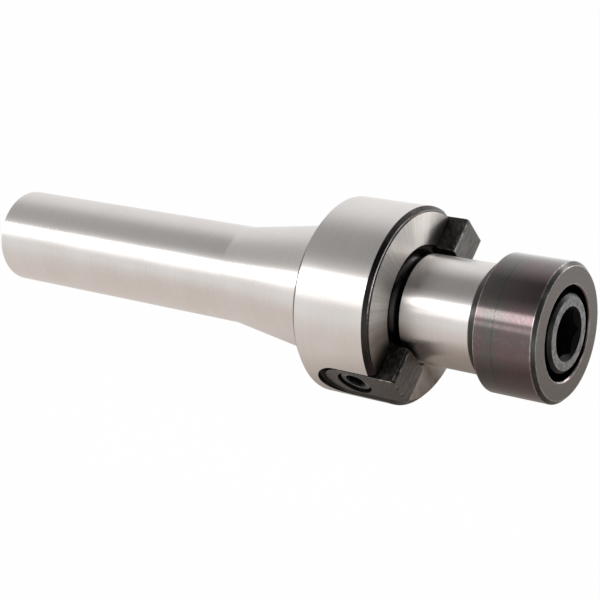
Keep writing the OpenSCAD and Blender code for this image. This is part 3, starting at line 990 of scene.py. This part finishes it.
def make_collar():
    """A cup that bears on the pilot's end; its front chamfer is dark and its rear chamfer nearly black."""
    collar = turn_piece("collar_body", rounded([
        (PILOT_END, COLLAR_HOLE_R, 2 * EDGE),
        (PILOT_END, COLLAR_R - COLLAR_REAR_CHAMFER, EDGE),
        (PILOT_END + COLLAR_REAR_CHAMFER, COLLAR_R, EDGE),
        (COLLAR_FRONT - COLLAR_FRONT_CHAMFER, COLLAR_R, EDGE),
        (COLLAR_FRONT, COLLAR_R - COLLAR_FRONT_CHAMFER, EDGE),
        (COLLAR_FRONT, COLLAR_BORE_R + COLLAR_BORE_EDGE, EDGE / 2),
        (COLLAR_FRONT - COLLAR_BORE_EDGE, COLLAR_BORE_R, EDGE / 2),
        (SCREW_SEAT, COLLAR_BORE_R, 3 * EDGE),
        (SCREW_SEAT, COLLAR_HOLE_R, 2 * EDGE),
    ], looped=True), COLLAR_STEPS, looped=True)
    coat(collar, "collar_oxide", "collar_chamfer", "collar_rear")
    take(collar)
    bpy.ops.object.mode_set(mode="EDIT")
    for index, way in enumerate((1, -1), 1):
        paint(collar, index, lambda centre, normal: radius_of(centre) > COLLAR_R - COLLAR_REAR_CHAMFER
              and 0.35 < way * normal.x < 0.95)
    bpy.ops.object.mode_set(mode="OBJECT")
    return collar


def make_collar_screw():
    screw = cap_screw("collar_screw_body", "screw_oxide", SCREW_R, SCREW_PITCH, SCREW_SEAT - SCREW_TIP,
                      SCREW_HEAD_R, SCREW_FACE - SCREW_SEAT, SCREW_HEX, SCREW_HEX_DEPTH,
                      SCREW_KNURLS, SCREW_TURN)
    place(screw, Matrix.Translation((SCREW_SEAT, 0, 0)))
    return screw


show(make_arbor(), "arbor", "arbor")

lower_key = make_key()
upper_key = second_copy(lower_key, "upper_key_body")
show(lower_key, "lower_key", "drive_key_lower")
show(upper_key, "upper_key", "drive_key_upper")

lower_screw = make_key_screw()
upper_screw = second_copy(lower_screw, "upper_key_screw_body")
show(lower_screw, "lower_key_screw", "key_screw_lower")
show(upper_screw, "upper_key_screw", "key_screw_upper")

show(make_collar(), "collar", "retaining_collar")
show(make_collar_screw(), "collar_screw", "retaining_screw")


# Studio

CAMERA_LENS = 93.167
CAMERA_AT = (0.1786, -0.2968, 0.09725)
CAMERA_AIM = (-0.03447, 0, -0.00393)
LAMP_AIM = (-0.04, 0, 0)

# How much of the floor's own white is seen directly, against the light that falls on it
FLOOR_WHITE = 0.975
FLOOR_SIZE = 40
FLOOR_Z = -60 * MM
# Soft shades on the floor that only the metal sees: middle, full shade's radius, outer radius, colour
FLOOR_SHADES = (
    ((-60 * MM, 0, FLOOR_Z), 90 * MM, 280 * MM, (0.86, 0.80, 0.76)),
    ((95 * MM, 45 * MM, FLOOR_Z), 125 * MM, 175 * MM, (0.40, 0.345, 0.31)),
    ((-10 * MM, 45 * MM, FLOOR_Z), 20 * MM, 75 * MM, (0.30, 0.26, 0.23)),
    ((200 * MM, 150 * MM, FLOOR_Z), 75 * MM, 125 * MM, (1.0, 0.94, 0.88)),
)

# Ways to the ceiling's darkest line and to the right side
OVERHEAD = (0, -0.29, 0.96)
RIGHTWARDS = (0.99, 0.1, 0)
RIGHT_SHADE = 0.55
# Brightness of that line along the arbor: from, to, and the brightness at both; the lowest holds
CEILING_SHADES = (
    (-0.72, -0.64, 0.85, 1.30),
    (-0.59, -0.53, 1.30, 0.62),
    (-0.47, -0.43, 0.62, 0.06),
)

# Soft boxes: way from the arbor, distance, length, height, and how bright they look, where 1 is white
LAMPS = {
    "front_box": ((-0.55, -0.77, 0.385), 0.9, 1.3, 0.225, 4.0),
    "front_fill": ((-0.55, -0.81, 0.17), 0.92, 1.3, 0.12, 0.2),
    "side_box": ((0.90, 0.12, 0.40), 1.0, 0.36, 0.36, 1.1),
    "right_box": ((0.985, 0.12, 0.05), 0.95, 0.16, 0.16, 4.2),
    "rear_strip": ((0.47, 0.85, 0.36), 0.95, 0.20, 0.62, 4.6),
    "low_box": ((-0.34, -0.91, 0.15), 0.95, 0.34, 0.10, 1.3),
}


def make_camera():
    data = bpy.data.cameras.new("camera")
    data.lens = CAMERA_LENS
    data.sensor_width = 36
    data.clip_start = 0.01
    camera = bpy.data.objects.new("camera", data)
    bpy.context.scene.collection.objects.link(camera)
    camera.location = CAMERA_AT
    camera.rotation_euler = (Vector(CAMERA_AIM) - camera.location).to_track_quat("-Z", "Y").to_euler()
    bpy.context.scene.camera = camera


def seen_directly(tree):
    """1 for rays from the camera, from gloss and through glass; gives the node of the rays too."""
    path = add(tree, "ShaderNodeLightPath")
    seen = sums(tree, "MAXIMUM", path.outputs["Is Camera Ray"], path.outputs["Is Glossy Ray"])
    return sums(tree, "MAXIMUM", seen, path.outputs["Is Transmission Ray"]), path


def make_floor():
    """A plain pale floor that keeps a faint shadow, with soft shades on it that only the metal sees."""
    bpy.ops.object.select_all(action="DESELECT")
    bpy.ops.mesh.primitive_plane_add(size=FLOOR_SIZE, location=(0, 0, FLOOR_Z))
    floor = bpy.context.object
    floor.name = "floor"
    settle(floor)
    finish, tree, shader = new_finish("pale_floor")
    shader.inputs["Base Color"].default_value = (0.98, 0.98, 0.98, 1)
    shader.inputs["Roughness"].default_value = 0.9
    shader.inputs["IOR"].default_value = 1.2
    place_node = add(tree, "ShaderNodeTexCoord").outputs["Object"]
    seen, path = seen_directly(tree)
    tone = (1, 1, 1)
    for middle, near, far, colour in FLOOR_SHADES:
        away = vectors(tree, "DISTANCE", place_node, middle)
        lit = sums(tree, "MAXIMUM", span(tree, away, near, far), path.outputs["Is Camera Ray"])
        tone = blend_colours(tree, lit, colour, tone)
    glow = add(tree, "ShaderNodeEmission", {"Color": tone, "Strength": 1.0})
    mixed = add(tree, "ShaderNodeMixShader", {
        0: sums(tree, "MULTIPLY", seen, FLOOR_WHITE), 1: shader.outputs[0], 2: glow.outputs[0],
    })
    tree.links.new(mixed.outputs[0], tree.nodes["Material Output"].inputs["Surface"])
    floor.data.materials.append(finish)


def make_room():
    """White all round; the ceiling and the right side are greyer, which bright metal shows as bands."""
    world = bpy.data.worlds.new("studio")
    bpy.context.scene.world = world
    world.use_nodes = True
    tree = world.node_tree
    background = tree.nodes["Background"]
    direction = add(tree, "ShaderNodeTexCoord").outputs["Generated"]
    parts = add(tree, "ShaderNodeSeparateXYZ", {0: direction})
    towards = vectors(tree, "DOT_PRODUCT", spoke_of(tree, parts), tuple(Vector(OVERHEAD).normalized()))
    lowest = None
    for stretch in CEILING_SHADES:
        shade = span(tree, parts.outputs["X"], *stretch)
        lowest = shade if lowest is None else sums(tree, "MINIMUM", lowest, shade)
    depth = sums(tree, "POWER", span(tree, towards, 0.55, 0.96), 2.0)
    ceiling = sums(tree, "SUBTRACT", 1.0, sums(tree, "MULTIPLY", depth, sums(tree, "SUBTRACT", 1.0, lowest)))
    side = vectors(tree, "DOT_PRODUCT", direction, RIGHTWARDS)
    right = span(tree, side, 0.2, 0.75, 1.0, RIGHT_SHADE)
    shade = sums(tree, "MULTIPLY", ceiling, right)
    path = add(tree, "ShaderNodeLightPath")
    level = sums(tree, "MAXIMUM", shade, path.outputs["Is Camera Ray"])
    tree.links.new(level, background.inputs["Strength"])
    background.inputs["Color"].default_value = (1, 1, 1, 1)


def make_lamp(name, direction, distance, length, height, level):
    """A soft box that faces the arbor and isn't seen by the camera."""
    data = bpy.data.lights.new(name, "AREA")
    data.shape = "RECTANGLE"
    data.size = length
    data.size_y = height
    data.energy = level * math.pi * length * height
    lamp = bpy.data.objects.new(name, data)
    bpy.context.scene.collection.objects.link(lamp)
    middle = Vector(LAMP_AIM)
    lamp.location = middle + Vector(direction).normalized() * distance
    facing = (middle - lamp.location).normalized()
    along = Vector((1, 0, 0)) - facing * facing.x
    along.normalize()
    across = (-facing).cross(along)
    lamp.rotation_euler = Matrix((along, across, -facing)).transposed().to_euler()
    lamp.visible_camera = False


make_camera()
make_floor()
make_room()
for lamp_name, soft_box in LAMPS.items():
    make_lamp(lamp_name, *soft_box)
bpy.context.scene.view_settings.view_transform = "Standard"
